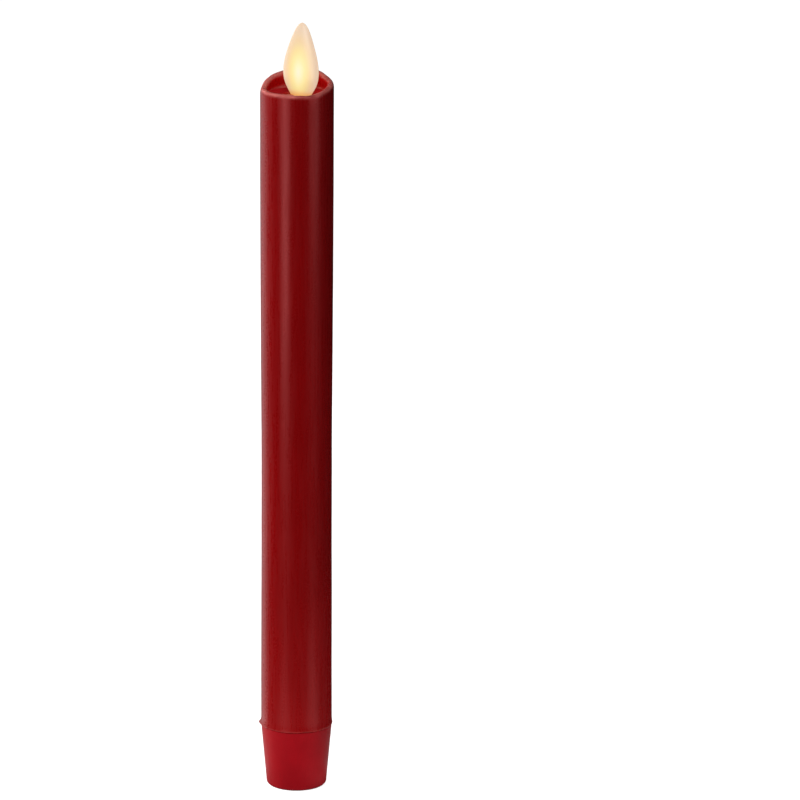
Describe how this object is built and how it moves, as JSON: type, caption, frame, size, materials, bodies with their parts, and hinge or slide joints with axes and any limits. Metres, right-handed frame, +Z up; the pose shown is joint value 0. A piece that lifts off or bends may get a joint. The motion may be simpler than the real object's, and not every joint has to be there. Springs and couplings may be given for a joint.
{
  "type": "flameless led candle",
  "caption": "Battery taper candle with a dipped wax body, swinging lit flame in a melted bowl, and a twist-off tapered base holding a slide switch.",
  "frame": {"origin": "centre of the foot of the tapered base, on the surface that the candle stands on", "axes": "+Z up along the candle; -Y is the side of the LED and of the low rim, +Y the high rim; +X is the switch's on end"},
  "size_m": [0.0228, 0.0228, 0.2436],
  "materials": {
    "wax_red": "satin, dipped wax",
    "base_red": "fine matte moulded",
    "bowl_red": "satin",
    "tube_white": "moulded",
    "chassis_black": "moulded",
    "knob_black": "moulded",
    "flame_frosted": "frosted translucent",
    "lens_clear": "clear moulded",
    "lens_dark": "dark moulded",
    "board_green": "solder mask over glass fibre",
    "chip_black": "moulded",
    "nickel": "nickel plated",
    "steel": "drawn and plated",
    "copper": "enamelled copper",
    "can_aluminium": "sleeved can",
    "cell_wrap": "shrink wrap over a steel can",
    "lead_red": "insulated wire",
    "lead_black": "insulated wire"
  },
  "bodies": {
    "base": {"base_cup": "base_red", "threaded_neck": "base_red", "switch_board": "board_green", "switch_board_screws": "steel", "slide_switch": "steel", "spring_plate": "nickel", "battery_spring": "steel", "base_contact": "nickel"},
    "slider": {"switch_knob": "knob_black", "switch_lever": "knob_black"},
    "cells": {"cell_lower": "cell_wrap", "cell_upper": "cell_wrap"},
    "flame": {"flame_paddle": "flame_frosted", "flame_magnet": "nickel"},
    "candle_body": {"wax_sleeve": "wax_red", "bowl_insert": "bowl_red", "core_tube": "tube_white", "threaded_collar": "tube_white", "battery_tube": "tube_white", "chassis_front": "chassis_black", "chassis_back": "chassis_black", "led_holder": "chassis_black", "coil_bobbin": "chassis_black", "led": "lens_clear", "ir_receiver": "lens_dark", "control_board": "board_green", "controller_chip": "chip_black", "surface_parts": "chip_black", "positive_contact": "nickel", "return_strip": "nickel", "pivot_wire": "steel", "chassis_screws": "steel", "board_screws": "steel", "led_leads": "steel", "ir_leads": "steel", "coil_winding": "copper", "coil_leads": "copper", "electrolytic_capacitor": "can_aluminium", "battery_lead_positive": "lead_red", "battery_lead_negative": "lead_black"}
  },
  "joints": [
    {"name": "switch_slide", "type": "slide", "parent": "base", "child": "slider", "axis": [1, 0, 0], "range_m": [-0.004, 0]},
    {"name": "candle_unscrew", "type": "hinge", "parent": "base", "child": "cells", "pos_m": [0, 0, 0.02], "axis": [0, 0, 1], "range_deg": [0, 360]},
    {"name": "candle_rise", "type": "slide", "parent": "cells", "child": "candle_body", "axis": [0, 0, 1], "range_m": [0, 0.0133]},
    {"name": "flame_sway", "type": "hinge", "parent": "candle_body", "child": "flame", "pos_m": [0, 0.0018, 0.213], "axis": [0, 1, 0], "range_deg": [-6, 6]}
  ],
  "couplings": [
    {"joint": "candle_rise", "follows": "candle_unscrew", "m_per_rad": 0.002069}
  ]
}
